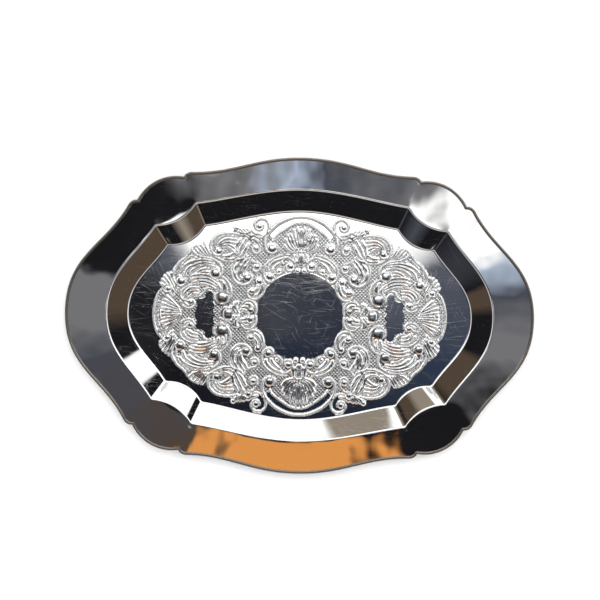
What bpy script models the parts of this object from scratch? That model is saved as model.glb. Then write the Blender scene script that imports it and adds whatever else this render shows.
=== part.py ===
"""Serving tray: one pressed sheet with a sunk well and a wavy flange, and a border wire round the flange edge.

Frame: metres, +Z up. The long side runs along X, the short side along Y. The origin is the centre of the flat
underside of the well, which is the face that the tray stands on.
"""

import math

import bmesh
import bpy
from mathutils import Vector
from mathutils.geometry import interpolate_bezier

MM = 0.001

# Overall
TRAY_LENGTH = 350 * MM
TRAY_WIDTH = 236 * MM
SHEET = 1.0 * MM                # thickness of the pressed sheet

# Flange and well
END_FLANGE = 31.3 * MM          # width of the flange on the X axis
SIDE_FLANGE = 24.7 * MM         # width of the flange on the Y axis
FLANGE_FALL = 3.0 * MM          # how far the flange edge lies below the lip
WELL_DEPTH = 13.6 * MM          # from the lip down to the floor
WALL_RUN = 14.3 * MM            # how far the sloping wall reaches inward, in plan
LIP_RADIUS = 2.4 * MM           # bend between flange and wall, on the upper side
FLOOR_RADIUS = 2.4 * MM         # bend between wall and floor, on the upper side

# Flange edge: how far each notch lies in from the tray's end (x) and from its side (y)
SIDE_NOTCH_IN = (86.0 * MM, 16.0 * MM)
END_NOTCH_IN = (51.7 * MM, 34.1 * MM)
CORNER_LOBE_RADIUS = 33.0 * MM  # the round lobe between the two notches
SHOULDER_RADIUS = 7.0 * MM      # the small shoulder beside each notch
SIDE_SHOULDER_TURN = 60.0       # degrees, from the long side down into its notch
END_SHOULDER_TURN = 65.0        # degrees, from the end notch round into the end curve
END_SHOULDER_SLOPE = -62.0      # degrees, heading at which the end curve leaves its shoulder

# Lip: how far each corner lies in from the end and the side of the lip, and the arc that bites in between them
LIP_SIDE_CORNER_IN = (64.3 * MM, 11.6 * MM)
LIP_END_CORNER_IN = (34.8 * MM, 28.8 * MM)
LIP_BITE_RADIUS = 34.7 * MM

# The same for the foot of the wall, measured from the end and the side of the floor
FLOOR_SIDE_CORNER_IN = (56.2 * MM, 12.2 * MM)
FLOOR_END_CORNER_IN = (28.9 * MM, 27.3 * MM)
FLOOR_BITE_RADIUS = 28.5 * MM

WELL_SIDE_SLOPE = -7.0          # degrees, heading of lip and floor edge where they reach the side corner
WELL_END_SLOPE = -58.0          # degrees, heading at which they leave the end corner

# Border wire
WIRE_WIDTH = 2.2 * MM
WIRE_HEIGHT = 1.3 * MM
SEAT_GAP = 0.3 * MM             # solder line under the wire, and from each end of a length to its mitre

# Fullness of the curves: each handle as a part of the curve's reach from the axis to the corner
RIM_SIDE_HANDLES = (0.43, 0.39)
RIM_END_HANDLES = (0.44, 0.53)
WELL_SIDE_HANDLES = (0.37, 0.25)
WELL_END_HANDLES = (0.42, 0.46)

# Facets
SIDE_STEPS = 14                 # from the Y axis to the side corner
CORNER_STEPS = 8                # between the two corners
END_STEPS = 14                  # from the end corner to the X axis
BEND_STEPS = 2                  # across each bend of the sheet
CROWN_STEPS = 5                 # over the rounded top of the wire
CURVE_SAMPLES = 160
CROWDING = 1.6                  # above 1, the facets grow shorter towards the corners

# Derived
HALF_LENGTH = TRAY_LENGTH / 2
HALF_WIDTH = TRAY_WIDTH / 2
LIP_HALF = (HALF_LENGTH - END_FLANGE, HALF_WIDTH - SIDE_FLANGE)
FLOOR_HALF = (LIP_HALF[0] - WALL_RUN, LIP_HALF[1] - WALL_RUN)
FLOOR_TOP = SHEET
LIP_TOP = FLOOR_TOP + WELL_DEPTH
EDGE_TOP = LIP_TOP - FLANGE_FALL
BEND_REACH = math.tan(math.atan2(WELL_DEPTH, WALL_RUN) / 2)  # tangent length of a bend with a radius of 1
QUARTER_STEPS = SIDE_STEPS + CORNER_STEPS + END_STEPS
SILVER_PLATE = (0.86, 0.84, 0.80, 1.0)


def heading(degrees):
    """A unit step in plan, 0 degrees along +X and negative towards -Y."""
    angle = math.radians(degrees)
    return Vector((math.cos(angle), math.sin(angle)))


def bezier(start, start_handle, end_handle, end):
    knots = [point.to_3d() for point in (start, start_handle, end_handle, end)]
    return [point.to_2d() for point in interpolate_bezier(*knots, CURVE_SAMPLES)]


def turned_arc(start, start_degrees, turn_degrees, radius):
    """A clockwise arc that leaves start at a heading and turns through an angle."""
    centre = start + radius * heading(start_degrees - 90)
    steps = CURVE_SAMPLES // 8
    return [
        centre + radius * heading(start_degrees + 90 - turn_degrees * step / steps)
        for step in range(steps + 1)
    ]


def chord_arc(start, end, radius, bulge):
    """The short arc from start to end; bulge 1 swells away from the tray's centre, -1 towards it."""
    chord = end - start
    across = Vector((-chord.y, chord.x)).normalized()
    rise = math.sqrt(radius ** 2 - (chord.length / 2) ** 2)
    centre = (start + end) / 2 - bulge * rise * across
    first = start - centre
    turn = first.angle_signed(end - centre)
    points = []
    for step in range(CURVE_SAMPLES + 1):
        angle = -turn * step / CURVE_SAMPLES
        spun = Vector((
            first.x * math.cos(angle) - first.y * math.sin(angle),
            first.x * math.sin(angle) + first.y * math.cos(angle),
        ))
        points.append(centre + spun)
    return points


def resample(points, fractions):
    """Points at the given fractions of a polyline's length."""
    lengths = [0.0]
    for first, second in zip(points, points[1:]):
        lengths.append(lengths[-1] + (second - first).length)
    chosen = []
    index = 0
    for fraction in fractions:
        target = fraction * lengths[-1]
        while index < len(points) - 2 and lengths[index + 1] < target:
            index += 1
        span = lengths[index + 1] - lengths[index]
        share = min((target - lengths[index]) / span, 1.0) if span else 0.0
        chosen.append(points[index].lerp(points[index + 1], share))
    return chosen


def crowd_to_end(steps):
    """Fractions from 0 to 1 that come closer together towards 1."""
    return [1 - (1 - step / steps) ** CROWDING for step in range(steps + 1)]


def crowd_to_start(steps):
    return [1 - fraction for fraction in reversed(crowd_to_end(steps))]


def even(steps):
    return [step / steps for step in range(steps + 1)]


def quarter(side, corner, end):
    """The quarter from the +Y axis to the +X axis, with its two corners at the same steps in every outline."""
    points = resample(side, crowd_to_end(SIDE_STEPS))
    points += resample(corner, even(CORNER_STEPS))[1:]
    points += resample(end, crowd_to_start(END_STEPS))[1:]
    return points


def whole(points):
    """A quarter outline mirrored into the whole ring, clockwise from the +Y axis."""
    right = points + [Vector((point.x, -point.y)) for point in reversed(points[:-1])]
    left = [Vector((-point.x, point.y)) for point in reversed(right[1:-1])]
    return right + left


def rim_outline():
    side_notch = Vector((HALF_LENGTH - SIDE_NOTCH_IN[0], HALF_WIDTH - SIDE_NOTCH_IN[1]))
    end_notch = Vector((HALF_LENGTH - END_NOTCH_IN[0], HALF_WIDTH - END_NOTCH_IN[1]))

    turn = math.radians(SIDE_SHOULDER_TURN)
    shoulder_start = side_notch - SHOULDER_RADIUS * Vector((math.sin(turn), math.cos(turn) - 1))
    reach = shoulder_start.x
    top = Vector((0, HALF_WIDTH))
    side = bezier(
        top,
        top + Vector((RIM_SIDE_HANDLES[0] * reach, 0)),
        shoulder_start - Vector((RIM_SIDE_HANDLES[1] * reach, 0)),
        shoulder_start,
    )
    side += turned_arc(shoulder_start, 0, SIDE_SHOULDER_TURN, SHOULDER_RADIUS)[1:]

    lobe = chord_arc(side_notch, end_notch, CORNER_LOBE_RADIUS, 1)

    shoulder_heading = END_SHOULDER_SLOPE + END_SHOULDER_TURN
    end = turned_arc(end_notch, shoulder_heading, END_SHOULDER_TURN, SHOULDER_RADIUS)
    start = end[-1]
    tip = Vector((HALF_LENGTH, 0))
    end += bezier(
        start,
        start + RIM_END_HANDLES[0] * start.y * heading(END_SHOULDER_SLOPE),
        tip + Vector((0, RIM_END_HANDLES[1] * start.y)),
        tip,
    )[1:]
    return quarter(side, lobe, end)


def well_outline(half, side_corner_in, end_corner_in, bite_radius):
    side_corner = Vector((half[0] - side_corner_in[0], half[1] - side_corner_in[1]))
    end_corner = Vector((half[0] - end_corner_in[0], half[1] - end_corner_in[1]))
    top = Vector((0, half[1]))
    tip = Vector((half[0], 0))
    side = bezier(
        top,
        top + Vector((WELL_SIDE_HANDLES[0] * side_corner.x, 0)),
        side_corner - WELL_SIDE_HANDLES[1] * side_corner.x * heading(WELL_SIDE_SLOPE),
        side_corner,
    )
    bite = chord_arc(side_corner, end_corner, bite_radius, -1)
    end = bezier(
        end_corner,
        end_corner + WELL_END_HANDLES[0] * end_corner.y * heading(WELL_END_SLOPE),
        tip + Vector((0, WELL_END_HANDLES[1] * end_corner.y)),
        tip,
    )
    return quarter(side, bite, end)


def grown(ring, distance):
    """The ring moved outward in plan by a distance, mitred at its corners."""
    moved = []
    count = len(ring)
    for index, point in enumerate(ring):
        before = (point - ring[index - 1]).normalized()
        after = (ring[(index + 1) % count] - point).normalized()
        normal_before = Vector((-before.y, before.x))
        normal_after = Vector((-after.y, after.x))
        mitre = (normal_before + normal_after) / (1 + normal_before.dot(normal_after))
        moved.append(point + distance * mitre)
    return moved


def bend(before, crease, after, reach):
    """A rounded crease: a quadratic curve whose ends lie at a reach from the crease on either side."""
    start = crease + reach * (before - crease).normalized()
    end = crease + reach * (after - crease).normalized()
    points = []
    for step in range(BEND_STEPS + 1):
        share = step / BEND_STEPS
        points.append(start.lerp(crease, share).lerp(crease.lerp(end, share), share))
    return points


def sheet_side(rim, lip, foot, drop, lip_radius, floor_radius):
    """Rings of one side of the sheet, from the flange edge in to the floor."""
    columns = []
    centre = Vector((0, 0, FLOOR_TOP - drop))
    for rim_point, lip_point, foot_point in zip(rim, lip, foot):
        edge = rim_point.to_3d() + Vector((0, 0, EDGE_TOP - drop))
        lip_crease = lip_point.to_3d() + Vector((0, 0, LIP_TOP - drop))
        foot_crease = foot_point.to_3d() + Vector((0, 0, FLOOR_TOP - drop))
        column = [edge]
        column += bend(edge, lip_crease, foot_crease, lip_radius * BEND_REACH)
        column += bend(lip_crease, foot_crease, centre, floor_radius * BEND_REACH)
        columns.append(column)
    return list(zip(*columns))


def silver_plate(name, roughness):
    material = bpy.data.materials.new(name)
    material.use_nodes = True
    shader = material.node_tree.nodes["Principled BSDF"]
    shader.inputs["Base Color"].default_value = SILVER_PLATE
    shader.inputs["Metallic"].default_value = 1.0
    shader.inputs["Roughness"].default_value = roughness
    return material


def add_object(name, mesh_data, material):
    mesh = bpy.data.meshes.new(name)
    bmesh.ops.recalc_face_normals(mesh_data, faces=mesh_data.faces)
    mesh_data.to_mesh(mesh)
    mesh_data.free()
    mesh.shade_smooth()
    mesh.set_sharp_from_angle(angle=math.radians(35))
    mesh.materials.append(material)
    piece = bpy.data.objects.new(name, mesh)
    bpy.context.collection.objects.link(piece)
    return piece


def add_loop(mesh_data, points):
    return [mesh_data.verts.new(point) for point in points]


def bridge(mesh_data, first, second):
    count = len(first)
    for index in range(count):
        following = (index + 1) % count
        mesh_data.faces.new((first[index], first[following], second[following], second[index]))


def make_tray_body(rim, lip, foot):
    """The pressed sheet: flange, sloping wall and floor, closed by its underside and its edge."""
    shift = SHEET * BEND_REACH
    upper = sheet_side(rim, lip, foot, 0.0, LIP_RADIUS, FLOOR_RADIUS)
    lower = sheet_side(rim, grown(lip, shift), grown(foot, shift), SHEET, LIP_RADIUS - SHEET, FLOOR_RADIUS + SHEET)
    mesh_data = bmesh.new()
    upper_loops = [add_loop(mesh_data, ring) for ring in upper]
    lower_loops = [add_loop(mesh_data, ring) for ring in lower]
    for loops in (upper_loops, lower_loops):
        for outer, inner in zip(loops, loops[1:]):
            bridge(mesh_data, outer, inner)
        mesh_data.faces.new(loops[-1])
    bridge(mesh_data, upper_loops[0], lower_loops[0])
    return add_object("tray_body", mesh_data, silver_plate("pressed_silver_plate", 0.08))


def wire_sections(rim, lip):
    """D-shaped sections of the border wire: flat on the flange, flush with its edge, rounded on top."""
    inner = grown(rim, -WIRE_WIDTH)
    sections = []
    for outer_point, inner_point, lip_point in zip(rim, inner, lip):
        inset = (inner_point - outer_point).length
        rise = FLANGE_FALL * inset / (lip_point - outer_point).length
        outer_foot = outer_point.to_3d() + Vector((0, 0, EDGE_TOP + SEAT_GAP))
        inner_foot = inner_point.to_3d() + Vector((0, 0, EDGE_TOP + SEAT_GAP + rise))
        middle = (outer_foot + inner_foot) / 2
        half = (outer_foot - inner_foot) / 2
        section = []
        for step in range(CROWN_STEPS + 1):
            angle = math.pi * step / CROWN_STEPS
            section.append(middle + half * math.cos(angle) + Vector((0, 0, WIRE_HEIGHT * math.sin(angle))))
        sections.append(section)
    return sections


def make_wire(name, sections, material):
    """One length of the wire, with both ends drawn back from their mitres by the seat gap."""
    ends = []
    for end, neighbour in ((sections[0], sections[1]), (sections[-1], sections[-2])):
        away = [(second - first).normalized() for first, second in zip(end, neighbour)]
        ends.append([point + SEAT_GAP * step for point, step in zip(end, away)])
    mesh_data = bmesh.new()
    loops = [add_loop(mesh_data, section) for section in [ends[0], *sections[1:-1], ends[1]]]
    for first, second in zip(loops, loops[1:]):
        bridge(mesh_data, first, second)
    mesh_data.faces.new(loops[0])
    mesh_data.faces.new(loops[-1])
    return add_object(name, mesh_data, material)


def make_border(rim, lip):
    """Eight lengths of wire that meet at the notches: one on each side, end and corner."""
    sections = wire_sections(rim, lip)
    material = silver_plate("border_wire_plate", 0.14)
    half_ring = 2 * QUARTER_STEPS
    side_notch = SIDE_STEPS
    end_notch = SIDE_STEPS + CORNER_STEPS
    stops = [
        ("back_right", side_notch, end_notch),
        ("right", end_notch, half_ring - end_notch),
        ("front_right", half_ring - end_notch, half_ring - side_notch),
        ("front", half_ring - side_notch, half_ring + side_notch),
        ("front_left", half_ring + side_notch, half_ring + end_notch),
        ("left", half_ring + end_notch, 2 * half_ring - end_notch),
        ("back_left", 2 * half_ring - end_notch, 2 * half_ring - side_notch),
        ("back", 2 * half_ring - side_notch, 2 * half_ring + side_notch),
    ]
    for place, first, last in stops:
        stretch = [sections[index % len(sections)] for index in range(first, last + 1)]
        make_wire("border_wire_" + place, stretch, material)


for leftover in list(bpy.data.objects):
    bpy.data.objects.remove(leftover)

rim_ring = whole(rim_outline())
lip_ring = whole(well_outline(LIP_HALF, LIP_SIDE_CORNER_IN, LIP_END_CORNER_IN, LIP_BITE_RADIUS))
foot_ring = whole(well_outline(FLOOR_HALF, FLOOR_SIDE_CORNER_IN, FLOOR_END_CORNER_IN, FLOOR_BITE_RADIUS))
make_tray_body(rim_ring, lip_ring, foot_ring)
make_border(rim_ring, lip_ring)
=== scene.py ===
# %% [markdown]
# # A silver-plated serving tray
#
# The real tray is one sheet of metal, pressed in a single stroke into a flat floor, a sloping wall, a
# rounded lip and a wavy flange, then chased with scrolls, plated with silver and polished. A thin
# D-shaped wire is soldered round the edge in eight lengths. This lesson builds the looks round the fixed
# frame: the frame gives the size and the pieces.

# %% Load the frame
import math

import bpy
import numpy as np
from mathutils import Matrix, Vector
from mathutils.geometry import delaunay_2d_cdt, interpolate_bezier


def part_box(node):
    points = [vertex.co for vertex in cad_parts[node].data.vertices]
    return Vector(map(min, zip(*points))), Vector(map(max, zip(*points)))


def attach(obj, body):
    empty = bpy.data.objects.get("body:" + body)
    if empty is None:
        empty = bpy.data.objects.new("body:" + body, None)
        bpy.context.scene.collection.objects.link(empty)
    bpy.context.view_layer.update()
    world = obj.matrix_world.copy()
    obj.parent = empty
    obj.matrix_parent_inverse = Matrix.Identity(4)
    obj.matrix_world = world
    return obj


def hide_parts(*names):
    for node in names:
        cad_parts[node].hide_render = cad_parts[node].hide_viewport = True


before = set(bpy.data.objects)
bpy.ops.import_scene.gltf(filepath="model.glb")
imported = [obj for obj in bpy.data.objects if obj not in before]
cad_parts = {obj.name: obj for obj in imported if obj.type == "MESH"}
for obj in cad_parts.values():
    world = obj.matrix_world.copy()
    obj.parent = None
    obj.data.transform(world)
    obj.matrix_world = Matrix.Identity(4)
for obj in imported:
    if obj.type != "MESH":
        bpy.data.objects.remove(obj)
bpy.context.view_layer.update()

MM = 0.001
BODY_LOW, BODY_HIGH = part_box("tray_body")

# %% [markdown]
# ## Camera
#
# The tray is seen almost from straight above, from about a metre away. The camera leans two degrees
# towards the near edge and a little over one degree to the left, and is turned about its own axis by one
# more. A small shift sets the tray a little below the middle of the picture.

# %% Camera
CAMERA_DISTANCE = 981 * MM
FOCAL_LENGTH = 78.0             # on a 36 mm sensor
LEAN_TO_FRONT = 2.0             # degrees
LEAN_TO_LEFT = 1.27
TURN = 1.13
SHIFT_UP = 0.026


def add_camera():
    data = bpy.data.cameras.new("camera")
    data.lens = FOCAL_LENGTH
    data.shift_y = SHIFT_UP
    camera = bpy.data.objects.new("camera", data)
    turn = Matrix.Rotation(math.radians(TURN), 4, "Z")
    front = Matrix.Rotation(math.radians(LEAN_TO_FRONT), 4, "X")
    left = Matrix.Rotation(math.radians(-LEAN_TO_LEFT), 4, "Y")
    back_off = Matrix.Translation((0, 0, CAMERA_DISTANCE))
    camera.matrix_world = turn @ front @ left @ back_off
    bpy.context.scene.collection.objects.link(camera)
    bpy.context.scene.camera = camera
    return camera


camera = add_camera()
print("camera at", [round(value / MM) for value in camera.matrix_world.translation], "mm")

# %% [markdown]
# ## The shape of the sheet
#
# Three outlines carry the whole shape: the flange edge, the lip, and the foot of the wall. Each is drawn
# for one quarter with a few curves and mirrored twice. They have their two corners at the same steps, so
# the sheet can be lofted straight from one outline to the next. The sizes are the ones that the frame was
# made with.

# %% Sizes of the sheet
HALF_LENGTH = BODY_HIGH.x
HALF_WIDTH = BODY_HIGH.y
SHEET = 1.0 * MM
END_FLANGE = 31.3 * MM
SIDE_FLANGE = 24.7 * MM
FLANGE_FALL = 3.0 * MM
WELL_DEPTH = 13.6 * MM
WALL_RUN = 14.3 * MM
LIP_RADIUS = 2.4 * MM
FLOOR_RADIUS = 2.4 * MM
CLEARANCE = 0.012 * MM          # keeps the finely rounded lip inside the frame's box

SIDE_NOTCH_IN = (86.0 * MM, 16.0 * MM)
END_NOTCH_IN = (51.7 * MM, 34.1 * MM)
CORNER_LOBE_RADIUS = 33.0 * MM
SHOULDER_RADIUS = 7.0 * MM
SIDE_SHOULDER_TURN = 60.0
END_SHOULDER_TURN = 65.0
END_SHOULDER_SLOPE = -62.0

LIP_SIDE_CORNER_IN = (64.3 * MM, 11.6 * MM)
LIP_END_CORNER_IN = (34.8 * MM, 28.8 * MM)
LIP_BITE_RADIUS = 34.7 * MM
FLOOR_SIDE_CORNER_IN = (56.2 * MM, 12.2 * MM)
FLOOR_END_CORNER_IN = (28.9 * MM, 27.3 * MM)
FLOOR_BITE_RADIUS = 28.5 * MM
WELL_SIDE_SLOPE = -7.0
WELL_END_SLOPE = -58.0

RIM_SIDE_HANDLES = (0.43, 0.39)
RIM_END_HANDLES = (0.44, 0.53)
WELL_SIDE_HANDLES = (0.37, 0.25)
WELL_END_HANDLES = (0.42, 0.46)

LIP_HALF = (HALF_LENGTH - END_FLANGE, HALF_WIDTH - SIDE_FLANGE)
FLOOR_HALF = (LIP_HALF[0] - WALL_RUN, LIP_HALF[1] - WALL_RUN)
FLOOR_TOP = SHEET
LIP_TOP = FLOOR_TOP + WELL_DEPTH - CLEARANCE
EDGE_TOP = LIP_TOP - FLANGE_FALL
BEND_REACH = math.tan(math.atan2(WELL_DEPTH, WALL_RUN) / 2)

# %% Steps round the outlines
SIDE_STEPS = 40                 # from the Y axis to the side corner
LOBE_STEPS = 24                 # between the two corners
END_STEPS = 40                  # from the end corner to the X axis
CORNER_STEPS = 6                # through each corner
CORNER_REACH = 1.6 * MM         # how far each corner is rounded, along its two curves
CROWDING = 1.3
CURVE_SAMPLES = 200


def heading(degrees):
    angle = math.radians(degrees)
    return Vector((math.cos(angle), math.sin(angle)))


def bezier(start, start_handle, end_handle, end):
    knots = [point.to_3d() for point in (start, start_handle, end_handle, end)]
    return [point.to_2d() for point in interpolate_bezier(*knots, CURVE_SAMPLES)]


def turned_arc(start, start_degrees, turn_degrees, radius):
    centre = start + radius * heading(start_degrees - 90)
    steps = CURVE_SAMPLES // 4
    return [
        centre + radius * heading(start_degrees + 90 - turn_degrees * step / steps)
        for step in range(steps + 1)
    ]


def chord_arc(start, end, radius, bulge):
    chord = end - start
    across = Vector((-chord.y, chord.x)).normalized()
    rise = math.sqrt(radius ** 2 - (chord.length / 2) ** 2)
    centre = (start + end) / 2 - bulge * rise * across
    first = start - centre
    turn = first.angle_signed(end - centre)
    return [
        centre + Matrix.Rotation(-turn * step / CURVE_SAMPLES, 2) @ first
        for step in range(CURVE_SAMPLES + 1)
    ]


def resample(points, fractions):
    """Points at the given fractions of a polyline's length."""
    array = np.array(points)
    lengths = np.concatenate([[0.0], np.cumsum(np.linalg.norm(np.diff(array, axis=0), axis=1))])
    targets = np.array(fractions) * lengths[-1]
    return [Vector(pair) for pair in zip(*(np.interp(targets, lengths, array[:, axis]) for axis in (0, 1)))]


def cut_back(points, start, end):
    """The polyline without its first and last stretch of the given lengths."""
    length = sum((second - first).length for first, second in zip(points, points[1:]))
    low = start / length
    high = 1 - end / length
    return resample(points, np.linspace(low, high, CURVE_SAMPLES))


def through_corner(before, corner, after, rounded):
    """Steps from one curve to the next past their corner, along a small round or through the sharp point."""
    points = []
    for share in np.linspace(0, 1, CORNER_STEPS + 1):
        if rounded:
            points.append(before.lerp(corner, share).lerp(corner.lerp(after, share), share))
        else:
            points.append(
                before.lerp(corner, 2 * share) if share < 0.5 else corner.lerp(after, 2 * share - 1),
            )
    return points


def quarter(side, lobe, end, rounded):
    crowded = [1 - (1 - share) ** CROWDING for share in np.linspace(0, 1, SIDE_STEPS + 1)]
    crowded = [1 - (1 - share) ** CROWDING for share in np.linspace(0, 1, END_STEPS + 1)]
    opening = [1 - share for share in reversed(crowded)]
    side_part = resample(cut_back(side, 0, CORNER_REACH), crowded)
    lobe_part = resample(cut_back(lobe, CORNER_REACH, CORNER_REACH), np.linspace(0, 1, LOBE_STEPS + 1))
    end_part = resample(cut_back(end, CORNER_REACH, 0), opening)
    points = side_part
    points += through_corner(side_part[-1], side[-1], lobe_part[0], rounded)[1:-1]
    points += lobe_part
    points += through_corner(lobe_part[-1], end[0], end_part[0], rounded)[1:-1]
    return points + end_part


def whole(points):
    """A quarter mirrored into the whole ring, clockwise from the +Y axis."""
    right = points + [Vector((point.x, -point.y)) for point in reversed(points[:-1])]
    return right + [Vector((-point.x, point.y)) for point in reversed(right[1:-1])]


# %% The three outlines
def rim_outline():
    side_notch = Vector((HALF_LENGTH - SIDE_NOTCH_IN[0], HALF_WIDTH - SIDE_NOTCH_IN[1]))
    end_notch = Vector((HALF_LENGTH - END_NOTCH_IN[0], HALF_WIDTH - END_NOTCH_IN[1]))
    turn = math.radians(SIDE_SHOULDER_TURN)
    shoulder = side_notch - SHOULDER_RADIUS * Vector((math.sin(turn), math.cos(turn) - 1))
    top = Vector((0, HALF_WIDTH))
    side = bezier(
        top,
        top + Vector((RIM_SIDE_HANDLES[0] * shoulder.x, 0)),
        shoulder - Vector((RIM_SIDE_HANDLES[1] * shoulder.x, 0)),
        shoulder,
    )
    side += turned_arc(shoulder, 0, SIDE_SHOULDER_TURN, SHOULDER_RADIUS)[1:]
    lobe = chord_arc(side_notch, end_notch, CORNER_LOBE_RADIUS, 1)
    end = turned_arc(end_notch, END_SHOULDER_SLOPE + END_SHOULDER_TURN, END_SHOULDER_TURN, SHOULDER_RADIUS)
    start = end[-1]
    tip = Vector((HALF_LENGTH, 0))
    end += bezier(
        start,
        start + RIM_END_HANDLES[0] * start.y * heading(END_SHOULDER_SLOPE),
        tip + Vector((0, RIM_END_HANDLES[1] * start.y)),
        tip,
    )[1:]
    return whole(quarter(side, lobe, end, rounded=False))


def well_outline(half, side_corner_in, end_corner_in, bite_radius):
    side_corner = Vector((half[0] - side_corner_in[0], half[1] - side_corner_in[1]))
    end_corner = Vector((half[0] - end_corner_in[0], half[1] - end_corner_in[1]))
    top = Vector((0, half[1]))
    tip = Vector((half[0], 0))
    side = bezier(
        top,
        top + Vector((WELL_SIDE_HANDLES[0] * side_corner.x, 0)),
        side_corner - WELL_SIDE_HANDLES[1] * side_corner.x * heading(WELL_SIDE_SLOPE),
        side_corner,
    )
    bite = chord_arc(side_corner, end_corner, bite_radius, -1)
    end = bezier(
        end_corner,
        end_corner + WELL_END_HANDLES[0] * end_corner.y * heading(WELL_END_SLOPE),
        tip + Vector((0, WELL_END_HANDLES[1] * end_corner.y)),
        tip,
    )
    return whole(quarter(side, bite, end, rounded=True))


rim_ring = rim_outline()
lip_ring = well_outline(LIP_HALF, LIP_SIDE_CORNER_IN, LIP_END_CORNER_IN, LIP_BITE_RADIUS)
foot_ring = well_outline(FLOOR_HALF, FLOOR_SIDE_CORNER_IN, FLOOR_END_CORNER_IN, FLOOR_BITE_RADIUS)
print("points round each outline:", len(rim_ring), len(lip_ring), len(foot_ring))

# %% [markdown]
# ## The chased ornament
#
# A chaser drives the pattern into the metal with punches: long scrolls that end in round eyes, leaves
# made of several flutes side by side, and a ground of crossed lines in the gaps. The pattern is the same
# in all four quarters, so it is drawn once, in millimetres from the tray's middle, and the floor is
# folded onto that one quarter.
#
# Each scroll is a few points on a smooth line. Each leaf is a pair of guide lines, and its flutes are
# spread between.

# %% Smooth lines through a few points
LINE_STEP = 0.35                # mm between the points of a finished line


def smooth_line(points):
    """A Catmull-Rom line through the points, in mm, resampled to even steps."""
    given = np.array(points, float)
    padded = np.vstack([2 * given[0] - given[1], given, 2 * given[-1] - given[-2]])
    fine = []
    for p0, p1, p2, p3 in zip(padded, padded[1:], padded[2:], padded[3:]):
        share = np.linspace(0, 1, 16, endpoint=False)[:, None]
        fine.append(0.5 * (
            2 * p1
            + (p2 - p0) * share
            + (2 * p0 - 5 * p1 + 4 * p2 - p3) * share ** 2
            + (3 * p1 - p0 - 3 * p2 + p3) * share ** 3
        ))
    fine = np.vstack(fine + [given[-1:]])
    lengths = np.concatenate([[0.0], np.cumsum(np.linalg.norm(np.diff(fine, axis=0), axis=1))])
    count = max(2, int(lengths[-1] / LINE_STEP) + 1)
    targets = np.linspace(0, lengths[-1], count)
    return np.column_stack([np.interp(targets, lengths, fine[:, axis]) for axis in (0, 1)])


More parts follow.
